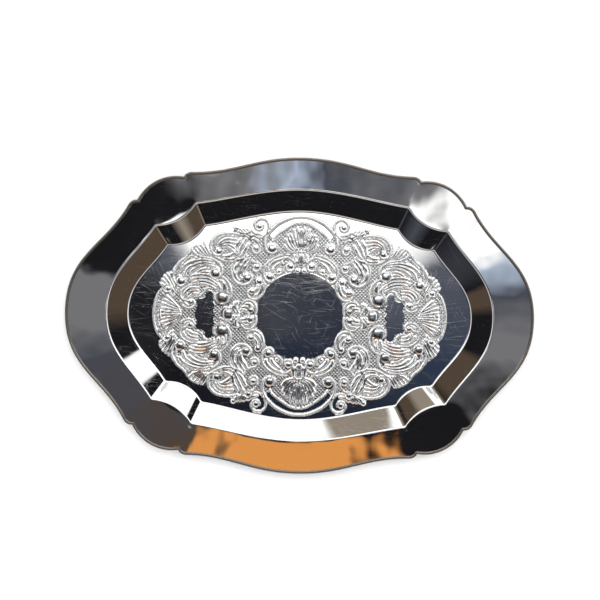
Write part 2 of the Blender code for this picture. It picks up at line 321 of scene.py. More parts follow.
# %% The scrolls
# Each scroll: its half width in mm where it starts and where it ends in its eye, then its points.
SCROLLS = {
    "arch": (
        0.9, 0.8,
        [
            (0, 74.8), (6, 74.2), (11.5, 72.4), (17, 69.5), (21.5, 65.8), (25.4, 61), (27.3, 56),
            (27.2, 51.6), (25.6, 48.2), (22.3, 46.7), (19, 47.6), (17.8, 50.2), (19.2, 52.4),
        ],
    ),
    "arch_inside": (0.55, 0.4, [(0, 69.9), (5.4, 69), (10.8, 66), (15.4, 62.8), (19.6, 59.4), (21.6, 56)]),
    "arch_curl": (
        0.5, 0.6,
        [
            (36, 60.4), (32.3, 58.4), (28.4, 59.6), (25.4, 63), (24.5, 67.4), (26.2, 71.1), (29.4, 72.7),
            (33, 71.8), (35.3, 68.9), (34.8, 65.6), (32.2, 64), (29.7, 65.2), (29.2, 67.6),
        ],
    ),
    "tall_scroll": (
        0.45, 0.7,
        [
            (43, 60), (38.5, 57.8), (34.4, 56.8), (31.8, 53.6), (31.1, 50.2), (31.8, 47.4), (34, 46.2),
            (36.4, 47.8), (36.9, 50.4), (35.2, 52.2),
        ],
    ),
    "great_scroll": (
        0.6, 0.9,
        [
            (46.5, 60.2), (52.3, 61.3), (57, 61), (61.7, 59.9), (65.5, 57), (67.8, 53), (68, 49),
            (66.2, 45.6), (63, 44.3), (60.2, 45.6), (60.1, 48.2),
        ],
    ),
    "great_scroll_inside": (
        0.4, 0.5, [(50, 58.8), (56, 59.3), (60.6, 58), (63.8, 55), (65, 51), (63.8, 47.8)],
    ),
    "under_scroll": (
        0.5, 0.6,
        [
            (41.5, 45.4), (44.6, 42.2), (48, 40.5), (52.3, 39.7), (57, 40), (61, 41.4), (65, 43.6),
            (69.4, 46.6), (72.4, 50.6),
        ],
    ),
    "small_scroll": (
        0.45, 0.6,
        [
            (41.8, 45), (39.4, 42), (36, 39.9), (32.6, 39.1), (30.7, 36.6), (31.3, 33.7), (33.8, 32.6),
            (36.2, 34), (35.9, 36.6),
        ],
    ),
    "middle_scroll": (
        0.5, 0.9,
        [
            (80, 42), (74, 42.6), (68.5, 42), (63.8, 40), (60.4, 36.8), (59.5, 32.9), (60.7, 29),
            (64.1, 27), (67.6, 28.1), (68.7, 31), (67, 33),
        ],
    ),
    "outer_scroll": (
        0.45, 0.9,
        [
            (76.5, 51.8), (80.5, 50), (83.6, 46.4), (87, 42), (90.8, 39.2), (93.4, 35.8), (95.6, 32),
            (96.2, 28), (94.8, 23.8), (91.6, 21), (88.3, 21.2), (86.7, 23.8), (88.2, 26),
        ],
    ),
    "outer_scroll_inside": (0.35, 0.4, [(82.6, 43.4), (87, 39.6), (90.4, 35.6), (92.4, 31), (92.2, 27)]),
    "inner_scroll": (
        0.6, 0.9,
        [
            (45, 42.4), (48.6, 41.2), (51.3, 38.4), (52.5, 34.6), (51.9, 29.8), (49.4, 25.2), (45.4, 22.7),
            (41.3, 22.7), (37.7, 25), (36.6, 28.3), (38.4, 30.8),
        ],
    ),
    "cartouche_scroll": (
        0.6, 1.0,
        [
            (61, 28.6), (57.6, 27), (54.4, 23.9), (52.6, 20), (52.2, 15.6), (53.6, 11.4), (57, 8.6),
            (60.9, 8.7), (64, 11), (64.3, 14.2), (62.2, 15.9),
        ],
    ),
    "cartouche_inside": (0.4, 0.5, [(60.4, 25.4), (57, 22.6), (55.6, 19), (55.6, 15.6)]),
    "reserve_top": (
        0.5, 0.7,
        [(14, 43.6), (9.4, 43.3), (5.8, 41), (4.6, 37.4), (6.3, 34), (9.8, 33.8), (11, 36.8), (9, 38.6)],
    ),
    "reserve_leaf": (0.4, 0.6, [(14.4, 39.8), (13.2, 36.4), (13.9, 32.8), (16.4, 30.9), (19.4, 31.2)]),
    "reserve_scroll": (
        0.5, 0.85,
        [
            (10, 45.6), (15.4, 45), (20.2, 43), (24.6, 39.8), (27.3, 36), (28.1, 32), (27.4, 28.4),
            (25.2, 25.6), (22, 25.2), (19.8, 27.4), (20.6, 30),
        ],
    ),
    "reserve_side": (
        0.6, 0.7,
        [
            (29.4, 27), (27.2, 23.6), (27.2, 19.6), (28.8, 15.6), (31.6, 12.6), (35, 11.5), (38.2, 12.6),
            (40, 15.2), (39.6, 18),
        ],
    ),
    "reserve_end": (0.6, 0.7, [(33.2, 1), (33, 5), (34.2, 8.4), (37.4, 10.6), (41.4, 10.4), (44, 8)]),
    "cartouche_top": (
        0.4, 0.6, [(64.6, 18.2), (68, 19.6), (71.6, 18.6), (73.2, 15.6), (75.6, 13.6), (78.4, 12.8)],
    ),
    "cartouche_end": (
        0.5, 0.7,
        [(76, 21.6), (80.4, 22), (85, 20.6), (88.8, 17.6), (90.2, 13.8), (88.8, 10.8), (85.6, 10.2)],
    ),
    "cartouche_low": (0.5, 0.6, [(90, 9.4), (88.6, 6), (85, 4.3), (81.2, 4.8), (79.4, 7.6), (80.6, 10.2)]),
    "ball_scroll": (0.4, 0.5, [(50.4, 9), (51, 5), (53.4, 4.6), (57.4, 4.6), (60, 3)]),
    "end_curl": (
        0.5, 0.6,
        [(95.2, 13), (96, 16.6), (97.6, 20), (100.8, 21.4), (103.2, 19.4), (102.4, 16.4), (99.6, 15.9)],
    ),
    "end_arc": (0.5, 0.5, [(103.6, 18.6), (106.8, 14.6), (108.8, 9.4), (109.8, 4), (110, 0)]),
    "end_arc_inside": (0.35, 0.35, [(103, 14.6), (105.4, 10.6), (106.8, 6), (107.2, 0)]),
}

# %% The leaves
# Each leaf: its two guide lines. Its flutes fill the space between them.
LEAVES = {
    "palmette_upper": ([(0, 47.6), (0, 56), (0, 67.6)], [(1.6, 47.6), (5.6, 54.4), (8.8, 63.6)]),
    "palmette_side": ([(1.6, 47.6), (5.6, 54.4), (8.8, 63.6)], [(2.6, 46.6), (9.6, 49.4), (13.6, 54.6)]),
    "palmette_lower": ([(1, 46), (1.2, 41), (1, 36.4)], [(3.4, 47), (4.4, 43), (2.8, 38.6)]),
    "reserve_flutes": ([(13.4, 43), (20, 40.3), (24.6, 36), (25.4, 31)],
                       [(14.6, 40.4), (17.8, 38), (20.4, 35), (21.4, 31.6)]),
    "side_flutes": ([(29.3, 24.6), (29.4, 19.6), (31.6, 15.8), (35.8, 13.8)],
                    [(32, 22.6), (32.8, 19.8), (34.8, 17.6), (37.2, 16.8)]),
    "inner_flutes": ([(43, 43), (48.6, 37), (49.8, 31), (47, 26.2), (42.4, 25)],
                     [(38.6, 40.6), (41.6, 36.4), (44, 32.4), (43.6, 29.4), (41.6, 28.4)]),
    "tall_flutes": ([(48.6, 41.6), (43.6, 46.6), (41, 51.4), (38.6, 55.4)],
                    [(49.6, 42.6), (49.6, 49), (47.6, 54), (44.6, 59)]),
    "great_flutes": ([(49.4, 56.8), (56, 57), (61, 54.6), (62.4, 51), (60.6, 49.2)],
                     [(51, 47.6), (54.6, 50.4), (57.6, 51.6), (58.8, 50.8), (58.8, 49.8)]),
    "under_flutes": ([(50.6, 46.4), (53.4, 44.4), (57, 43.8), (60, 44.6)],
                     [(48.6, 43), (52, 41.6), (56.4, 41.6), (59.6, 42.6)]),
    "tip_flutes": ([(31, 60.6), (35.4, 62), (38.6, 64.6)], [(42, 60.6), (46, 62), (49.6, 65)]),
    "middle_flutes": ([(66.2, 39.8), (74, 40.8), (82.6, 39), (89, 34.6), (90.6, 28.6)],
                      [(65.4, 36), (71, 36.8), (77.4, 35.4), (82.4, 32), (84.4, 28.8)]),
    "middle_low": ([(70, 34.4), (75, 33.4), (79, 30.6)], [(70.6, 31.6), (73.6, 31.6), (76.4, 30.4)]),
    "upper_tips": ([(68.6, 44.8), (70.6, 49.4), (73.4, 53.6)], [(75, 43.4), (79.4, 45), (82.4, 48)]),
    "lower_flutes": ([(62.6, 25), (70, 29.2), (79, 29.4), (85.4, 26.6)],
                     [(64.4, 19.4), (68.6, 21.4), (74, 22.6), (78.4, 22.4)]),
    "cartouche_flutes": ([(77, 20), (83, 19.2), (87.2, 15.4), (86.2, 12.4)],
                         [(77.4, 15.2), (80.4, 15), (82.6, 13.4), (82.8, 12)]),
    "low_curl_flutes": ([(86.8, 8), (84.4, 6.4), (82, 7.2)], [(84.8, 9), (83.6, 8.2), (82.4, 8.6)]),
    "outer_leaf": ([(92.6, 18.6), (95.4, 25), (98.6, 32.4)], [(96.4, 13.6), (101, 19), (106, 23.4)]),
    "end_fan": ([(89.6, 0.8), (98, 0.9), (105.6, 0.9)], [(91.4, 4.6), (96.6, 9.4), (101.4, 13.6)]),
    "cartouche_leaf": ([(58.6, 25), (57.6, 20), (58.4, 16.4)], [(62.4, 22.6), (61, 19.6), (61, 17.4)]),
    "reserve_end_flutes": ([(35.6, 5.4), (38.4, 8.2), (42.4, 7.6)], [(38.4, 0.8), (41.6, 3.4), (45.6, 3.6)]),
    "diamond_leaf": ([(46, 1), (48.4, 6), (46.4, 10.6)], [(49.6, 1), (52.6, 3), (51.6, 7)]),
}
FLUTE_PITCH = 3.0               # mm between the flutes where a leaf is widest
FLUTE_HALF_WIDTHS = (0.45, 1.5)     # mm, the least and the most
TIP_CUT = 0.84                  # how much of its length the outermost flute of a leaf keeps

# %% The eyes
# Each eye: its centre and its radius in mm. Round bosses fill the scrolls' ends.
EYES = [
    (22.2, 50.4, 3.0), (31.9, 67.2, 2.1), (34.2, 50.2, 2.0), (62.2, 47.6, 2.4), (33.5, 36.2, 2.1),
    (64.6, 30.8, 3.3), (90.4, 24.4, 3.0), (40.4, 27.6, 2.8), (59.2, 12.6, 4.1), (8, 37.2, 2.2),
    (23.6, 29, 2.6), (36.8, 17.6, 2.0), (31.4, 25.4, 2.2), (37.4, 3.4, 2.3), (54.6, 0.8, 3.2),
    (82.6, 8.6, 2.0), (99.8, 18.4, 2.0), (38, 59.8, 2.0), (49, 65.2, 1.7), (2.6, 33.8, 1.7),
    (16.6, 33.4, 1.5), (103.6, 1.4, 1.5),
]
EYE_SIZE = 1.15


def leaf_lines(first, last):
    """Lines spread evenly between a leaf's two guide lines, each with its half width along the way."""
    ends = [smooth_line(first), smooth_line(last)]
    shares = np.linspace(0, 1, max(len(end) for end in ends))
    even = [
        np.column_stack([np.interp(shares, np.linspace(0, 1, len(end)), end[:, axis]) for axis in (0, 1)])
        for end in ends
    ]
    span = np.linalg.norm(even[1] - even[0], axis=1)
    gaps = max(1, round(span.max() / FLUTE_PITCH))
    swell = 0.6 + 0.4 * np.sin(math.pi * (0.12 + 0.8 * shares))
    widths = np.clip(span / gaps * 0.5, *FLUTE_HALF_WIDTHS) * swell
    lines = []
    for share in np.linspace(0, 1, gaps + 1):
        kept = round(len(shares) * (TIP_CUT + (1 - TIP_CUT) * math.sin(math.pi * share)))
        lines.append(((even[0] + (even[1] - even[0]) * share)[:kept], widths[:kept]))
    return lines


def line_mesh(name, lines):
    """Lines, each with a half width at every point, as one mesh of edges with a radius attribute."""
    points = []
    edges = []
    radii = []
    for line, widths in lines:
        start = len(points)
        points += [(x * MM, y * MM, 0.0) for x, y in line]
        edges += [(start + index, start + index + 1) for index in range(len(line) - 1)]
        radii += [width * MM for width in widths]
    mesh = bpy.data.meshes.new(name)
    mesh.from_pydata(points, edges, [])
    attribute = mesh.attributes.new("radius", "FLOAT", "POINT")
    attribute.data.foreach_set("value", np.array(radii, np.float32))
    return bpy.data.objects.new(name, mesh)


SCROLL_BROADENING = 1.25


def scroll_widths(start, end, count):
    """Thin at the tail, full along the body, and a little thinner into the eye."""
    share = np.linspace(0, 1, count)
    return SCROLL_BROADENING * (start + (end - start) * share) * (0.7 + 0.3 * np.sin(math.pi * share))


scroll_lines = []
for start_width, end_width, points in SCROLLS.values():
    line = smooth_line(points)
    scroll_lines.append((line, scroll_widths(start_width, end_width, len(line))))
flute_lines = []
for first, last in LEAVES.values():
    flute_lines += leaf_lines(first, last)
scroll_guide = line_mesh("scroll_guide", scroll_lines)
flute_guide = line_mesh("flute_guide", flute_lines)
eye_guide = line_mesh("eye_guide", [(np.array([[x, y]]), [EYE_SIZE * radius]) for x, y, radius in EYES])
print("guides:", len(scroll_lines), "scrolls,", len(flute_lines), "flutes,", len(EYES), "eyes")

# %% [markdown]
# ## The sheet as a mesh
#
# The sheet is lofted from the flange edge over the lip, down the wall and onto the floor, and back along
# the underside one millimetre lower. The floor is filled with small triangles where it is chased and
# large ones where it is plain, so that the ornament gets nearly all of the mesh.

# %% Loft the flange, lip and wall
FLANGE_ROWS = 8
BEND_ROWS = 6
WALL_ROWS = 3
UNDER_BEND_ROWS = 3
FLAT_BORDER = 0.5 * MM          # a last ring on the flat floor, so that the bend's shading ends there
FOLD_SOFTNESS = 5.0 * MM        # how widely a side of the flange runs into a lobe, half way across


def grown(ring, distance):
    """The ring moved outward in plan by a distance, mitred at its corners."""
    points = np.array(ring)
    step = np.roll(points, -1, axis=0) - points
    step /= np.linalg.norm(step, axis=1)[:, None]
    after = np.column_stack([-step[:, 1], step[:, 0]])
    before = np.roll(after, 1, axis=0)
    mitre = (before + after) / (1 + (before * after).sum(axis=1))[:, None]
    return points + distance * mitre


def at_height(ring, height):
    points = np.array(ring)
    return np.column_stack([points, np.full(len(points), height)])


def toward(start, end, reach):
    step = end - start
    return start + reach * step / np.linalg.norm(step, axis=1)[:, None]


def bend(before, crease, after, reach, rows):
    """Rings round a crease, along a quadratic curve that leaves both flanks smoothly."""
    start = toward(crease, before, reach)
    end = toward(crease, after, reach)
    rings = []
    for share in np.linspace(0, 1, rows + 1):
        first = start + (crease - start) * share
        second = crease + (end - crease) * share
        rings.append(first + (second - first) * share)
    return rings


def between(start, end, rows):
    """Rings between two rings, without either of them."""
    return [start + (end - start) * share for share in np.linspace(0, 1, rows + 1)[1:-1]]


def softened(ring, reach):
    """The ring averaged along itself with a bell curve, so that a fold becomes a soft hollow."""
    points = ring[:, :2]
    step = np.linalg.norm(np.roll(points, -1, axis=0) - points, axis=1)
    place = np.cumsum(step) - step
    gap = np.abs(place[:, None] - place)
    gap = np.minimum(gap, step.sum() - gap)
    weight = np.exp(-0.5 * (gap / reach) ** 2) * (step + np.roll(step, 1))
    weight /= weight.sum(axis=1)[:, None]
    return np.column_stack([weight @ points, ring[:, 2]])


def flange_between(start, end, rows):
    """Rings across the flange, softest half way across and true at both edges."""
    rings = []
    for share in np.linspace(0, 1, rows + 1)[1:-1]:
        ring = start + (end - start) * share
        rings.append(softened(ring, FOLD_SOFTNESS * math.sqrt(math.sin(math.pi * share))))
    return rings


def sheet_side(rim, lip, foot, drop, radii, rows):
    flange_rows, bend_rows, wall_rows = rows
    edge = at_height(rim, EDGE_TOP - drop)
    lip_crease = at_height(lip, LIP_TOP - drop)
    foot_crease = at_height(foot, FLOOR_TOP - drop)
    centre = np.zeros_like(edge) + (0, 0, FLOOR_TOP - drop)
    lip_bend = bend(edge, lip_crease, foot_crease, radii[0] * BEND_REACH, bend_rows)
    foot_bend = bend(lip_crease, foot_crease, centre, radii[1] * BEND_REACH, bend_rows)
    rings = [edge]
    rings += flange_between(edge, lip_bend[0], flange_rows)
    rings += lip_bend
    rings += between(lip_bend[-1], foot_bend[0], wall_rows)
    rings += foot_bend
    return rings + [toward(foot_bend[-1], centre, FLAT_BORDER)]


UPPER_RINGS = sheet_side(rim_ring, lip_ring, foot_ring, 0.0, (LIP_RADIUS, FLOOR_RADIUS),
                         (FLANGE_ROWS, BEND_ROWS, WALL_ROWS))
UNDER_SHIFT = SHEET * BEND_REACH
LOWER_RINGS = sheet_side(rim_ring, grown(lip_ring, UNDER_SHIFT), grown(foot_ring, UNDER_SHIFT), SHEET,
                         (LIP_RADIUS - SHEET, FLOOR_RADIUS + SHEET), (1, UNDER_BEND_ROWS, 1))
print("rings above and below:", len(UPPER_RINGS), len(LOWER_RINGS))

# %% Fill the floor
FINE_STEP = 0.59 * MM           # triangle side where the floor is chased
COARSE_STEP = 4.0 * MM          # triangle side where it is plain
FINE_REACH = 2.4                # mm round a line that still needs small triangles
COARSE_GAP = 1.2                # mm more before the large ones start
RASTER_CELL = 0.25              # mm
RASTER_SIZE = (120, 90)         # mm, a little more than a quarter of the floor
EYE_CLEARING = 1.45             # an eye's hollow reaches this many radii
FINE_AREA = (0.115, 0.078)      # half of the chased area, along and across
FINE_BORDER = 2.6 * MM          # how far the points of the fill stay from the foot of the wall
COARSE_BORDER = 4.0 * MM
UNDER_BORDER = 5.0 * MM
GROUND_OUTLINE = [
    (0, 69.4), (5.4, 68.6), (10.8, 65.4), (15.4, 62.2), (19.4, 58.9), (21.4, 56), (24.6, 60.4),
    (28.4, 59.6), (32.3, 58.6), (36, 60.4), (39, 64.4), (44, 63.2), (49.4, 64.8), (52.3, 61.3), (57, 61),
    (61.7, 59.9), (65.5, 57), (67.8, 53), (68.4, 48.4), (73.2, 53.2), (76.5, 51.8), (80.5, 50),
    (83.6, 46.4), (87, 42), (90.8, 39.2), (93.4, 35.8), (95.8, 32), (98.4, 32), (102.6, 27.4),
    (105.8, 23.4), (103.2, 19.4), (106.8, 14.6), (108.8, 9.4), (109.8, 4), (110, 0),
]
RESERVE_RADIUS = 33.5           # the plain disc in the middle
CARTOUCHE = [(63.2, 0), (65, 3), (64, 6.5), (65.4, 9.5), (64.6, 13.5), (66.2, 17.4), (69, 18.6), (71.2, 16.4),
             (71.6, 13.4), (74, 12), (77, 12.4), (78.8, 9.6), (77.4, 6), (79, 3), (79.6, 0)]
RESERVE_EDGE = [(RESERVE_RADIUS * math.cos(turn), RESERVE_RADIUS * math.sin(turn))
                for turn in np.linspace(0, math.pi / 2, 40)]


def inside(points, outline):
    """Which of the points lie inside a closed outline, in mm."""
    result = np.zeros(len(points), bool)
    for (x1, y1), (x2, y2) in zip(outline, outline[1:] + outline[:1]):
        crosses = (y1 > points[:, 1]) != (y2 > points[:, 1])
        reach = x1 + (points[:, 1] - y1) * (x2 - x1) / ((y2 - y1) or 1e-9)
        result ^= crosses & (points[:, 0] < reach)
    return result


def on_ground(points):
    """Which folded points, in mm, lie on the hatched ground or the ornament that it carries."""
    outer = inside(points, [(0, -1)] + GROUND_OUTLINE + [(110, -1)])
    cartouche = inside(points, [(63.2, -1)] + CARTOUCHE + [(79.6, -1)])
    return outer & ~cartouche & (np.linalg.norm(points, axis=1) > RESERVE_RADIUS)


def straight_line(points):
    """Points close together along a polyline."""
    return np.vstack([np.linspace(start, end, 60) for start, end in zip(points, points[1:])])


def near_lines(points, reach):
    """Which folded points lie within a reach, in mm, of a line or an eye, by marking lines on a raster."""
    raster = np.zeros([int(side / RASTER_CELL) for side in RASTER_SIZE], bool)
    borders = [straight_line(outline) for outline in (GROUND_OUTLINE, CARTOUCHE, RESERVE_EDGE)]
    spots = np.vstack([line for line, _ in scroll_lines + flute_lines] + borders)
    span = int(reach / RASTER_CELL)
    for dx in range(-span, span + 1):
        for dy in range(-span, span + 1):
            if dx * dx + dy * dy <= span * span:
                marked = np.clip((spots / RASTER_CELL).astype(int) + (dx, dy), 0, np.array(raster.shape) - 1)
                raster[marked[:, 0], marked[:, 1]] = True
    cells = np.clip((points / RASTER_CELL).astype(int), 0, np.array(raster.shape) - 1)
    result = raster[cells[:, 0], cells[:, 1]]
    for x, y, radius in EYES:
        result |= np.hypot(points[:, 0] - x, points[:, 1] - y) < EYE_CLEARING * radius + reach / 2
    return result


def lattice(step, half_x, half_y):
    """A triangular lattice that is the same on both sides of both axes."""
    row_step = step * math.sqrt(3) / 2
    rows = np.arange(-math.ceil(half_y / row_step), math.ceil(half_y / row_step) + 1)
    columns = np.arange(-math.ceil(half_x / step) - 1, math.ceil(half_x / step) + 2)
    row, column = np.meshgrid(rows, columns)
    x = (column + 0.5 * (row % 2)) * step
    return np.column_stack([x.ravel(), (row * step * math.sqrt(3) / 2).ravel()])


def floor_points():
    fine = lattice(FINE_STEP, *FINE_AREA)
    folded = np.abs(fine) / MM
    keep = on_ground(folded) | near_lines(folded, FINE_REACH)
    fine = fine[keep]
    coarse = lattice(COARSE_STEP, *FLOOR_HALF)
    folded = np.abs(coarse) / MM
    clear = ~(on_ground(folded) | near_lines(folded, FINE_REACH + COARSE_GAP))
    border = [tuple(point) for point in grown(foot_ring, -COARSE_BORDER)]
    in_floor = inside(coarse, border)
    return fine, coarse[clear & in_floor]


fine_points, coarse_points = floor_points()
print("floor points:", len(fine_points), "fine,", len(coarse_points), "coarse")

# %% Join the loft and the two floors in one mesh
UNDER_STEP = 6.0 * MM


def fill(inner, ring):
    """Triangles over the ground inside a ring: the points as they come out, and the faces."""
    edge = ring[:, :2]
    count = len(inner)
    border = [(count + index, count + (index + 1) % len(edge)) for index in range(len(edge))]
    given = [Vector(point) for point in np.vstack([inner, edge])]
    made, _, faces, sources, _, _ = delaunay_2d_cdt(given, border, [], 1, 1e-8)
    return [point[:] for point in made], faces, sources, count


def add_floor(vertices, faces, inner, ring, ring_start, upward):
    """Fill a ring that is already in the mesh."""
    made, triangles, sources, count = fill(inner, ring)
    height = ring[0][2]
    index_of = []
    for point, source in zip(made, sources):
        on_ring = [index - count for index in source if index >= count]
        if on_ring:
            index_of.append(ring_start + on_ring[0])
        else:
            index_of.append(len(vertices))
            vertices.append((point[0], point[1], height))
    for a, b, c in triangles:
        first, second, third = (np.array(made[index]) for index in (a, b, c))
        one, other = second - first, third - first
        counter = one[0] * other[1] - one[1] * other[0]
        order = (a, b, c) if (counter > 0) == upward else (a, c, b)
        faces.append(tuple(index_of[index] for index in order))


def add_band(faces, first, second, count):
    """Quads between two rings that start at the given vertices; both run clockwise, outside first."""
    for index in range(count):
        after = (index + 1) % count
        faces.append((first + index, first + after, second + after, second + index))


def make_sheet():
    count = len(rim_ring)
    vertices = []
    faces = []
    for ring in UPPER_RINGS + LOWER_RINGS:
        vertices += [tuple(point) for point in ring]
    lower_start = len(UPPER_RINGS) * count
    for row in range(len(UPPER_RINGS) - 1):
        add_band(faces, row * count, (row + 1) * count, count)
    for row in range(len(LOWER_RINGS) - 1):
        add_band(faces, lower_start + (row + 1) * count, lower_start + row * count, count)
    add_band(faces, lower_start, 0, count)
    border = [tuple(point) for point in grown(foot_ring, -FINE_BORDER)]
    chased = fine_points[inside(fine_points, border)]
    add_floor(vertices, faces, np.vstack([chased, coarse_points]), UPPER_RINGS[-1], lower_start - count, True)
    under = lattice(UNDER_STEP, *FLOOR_HALF)
    under = under[inside(under, [tuple(point) for point in grown(foot_ring, -UNDER_BORDER)])]
    last = lower_start + (len(LOWER_RINGS) - 1) * count
    add_floor(vertices, faces, under, LOWER_RINGS[-1], last, False)
    mesh = bpy.data.meshes.new("pressed_sheet")
    mesh.from_pydata(vertices, [], faces)
    mesh.validate()
    return mesh


def mark_ground(mesh):
    """Store, at each point, whether it lies on the hatched ground, and whether on the flange's top."""
    places = np.empty(len(mesh.vertices) * 3, np.float32)
    mesh.vertices.foreach_get("co", places)
    places = places.reshape(-1, 3)
    marked = on_ground(np.abs(places[:, :2]) / MM) & (np.abs(places[:, 2] - FLOOR_TOP) < 1e-5)
    mesh.attributes.new("ground", "FLOAT", "POINT").data.foreach_set("value", marked.astype(np.float32))
    on_flange = np.arange(len(places)) < (FLANGE_ROWS + 1) * len(rim_ring)
    mesh.attributes.new("flange", "FLOAT", "POINT").data.foreach_set("value", on_flange.astype(np.float32))


sheet_mesh = make_sheet()
mark_ground(sheet_mesh)
sheet_blank = bpy.data.objects.new("sheet_blank", sheet_mesh)
bpy.context.scene.collection.objects.link(sheet_blank)
print("sheet before chasing:", len(sheet_mesh.vertices), "points,", len(sheet_mesh.polygons), "faces")

# %% [markdown]
# ## Chase the floor with Geometry Nodes
#
# The relief is a rule: a point of the floor rises by how near it is to a scroll, a flute or an eye.
# Geometry Nodes measure that for every point at once. The point is folded onto the one drawn quarter, the
# distance to the nearest line is compared with that line's half width, and the punch's round profile
# gives the height. Between the lines, the ground is sunk a little. The same numbers are stored on the
# mesh, because the plating's finish depends on them, and so does a painted shade, with some tarnish, in
# a flat band beside each ridge.

# %% A helper for nodes
MATH = "ShaderNodeMath"
VECTOR_MATH = "ShaderNodeVectorMath"
MAP_RANGE = "ShaderNodeMapRange"
MIX = "ShaderNodeMix"
NOISE = "ShaderNodeTexNoise"
MAPPING = "ShaderNodeMapping"


def add_node(tree, kind, links=(), **settings):
    """Add a node, and give each input a value, or a link from a socket or from a node's first output."""
    node = tree.nodes.new(kind)
    for name, value in settings.items():
        setattr(node, name, value)
    for name, value in links.items() if isinstance(links, dict) else enumerate(links):
        if isinstance(value, bpy.types.Node):
            value = value.outputs[0]
        if isinstance(value, bpy.types.NodeSocket):
            tree.links.new(value, node.inputs[name])
        else:
            node.inputs[name].default_value = value
    return node


# %% The tree that chases the floor
HATCHING_PITCH = 1.9            # mm between the crossed lines
CHASING = {
    "Scroll Height": 0.36 * MM,
    "Flute Height": 0.28 * MM,
    "Eye Height": 0.42 * MM,
    "Ground Depth": 0.05 * MM,
    "Hatching Depth": 0.04 * MM,
    "Hatching Pitch": HATCHING_PITCH * MM,
    "Hollow Reach": 1.4,
    "Unevenness": 0.45 * MM,
    "Floor Height": FLOOR_TOP,
}
LEAST_RELIEF = 0.01 * MM        # anything lower counts as flat floor
FLOOR_TOLERANCE = 0.02 * MM
LINE_PROFILE = 2.0              # powers of the punches' profiles: a round back, and an eye with a flatter top
EYE_PROFILE = 3.5
# The traced outlines are a flat band of painted shade beside each ridge, with some tarnish; the floor is not cut
# there.
SCROLL_OUTLINE_SHADE = (1.4, 1.9)       # in half widths: where the traced outline is full, and where it ends
FLUTE_OUTLINE_SHADE = (1.2, 1.6)
HATCHING_SHARPNESS = 2.0        # a power: higher gives narrower cuts between broader lands
# A flute's outline is the same band of painted shade, with some tarnish, only weaker.
FLUTE_OUTLINE = 0.6             # a flute's traced outline, as a share of a scroll's
UNEVEN_SIZE = 7.0 * MM          # how far apart the chaser's heavier and lighter strokes are


def punch(tree, folded, source, height, kind, flatness):
    """How high one set of lines lifts the floor, and how far the nearest line is."""
    info = add_node(tree, "GeometryNodeObjectInfo", {"Object": source})
    near = add_node(
        tree, "GeometryNodeProximity", {"Geometry": info.outputs["Geometry"], "Sample Position": folded},
        target_element=kind,
    )
    radius = add_node(tree, "GeometryNodeInputNamedAttribute", {"Name": "radius"}, data_type="FLOAT")
    nearest = add_node(
        tree, "GeometryNodeSampleNearest",
        {"Geometry": info.outputs["Geometry"], "Sample Position": folded}, domain="POINT",
    )
    sample = add_node(
        tree, "GeometryNodeSampleIndex",
        {"Geometry": info.outputs["Geometry"], "Value": radius.outputs[0], "Index": nearest.outputs[0]},
        data_type="FLOAT", domain="POINT",
    )
    distance = near.outputs["Distance"]
    share = add_node(tree, MATH, [distance, sample.outputs[0]], operation="DIVIDE")
    dome = add_node(
        tree, MATH, [1.0, add_node(tree, MATH, [share, flatness], operation="POWER")], operation="SUBTRACT",
        use_clamp=True,
    )
    return (add_node(tree, MATH, [dome, height], operation="MULTIPLY"), share)


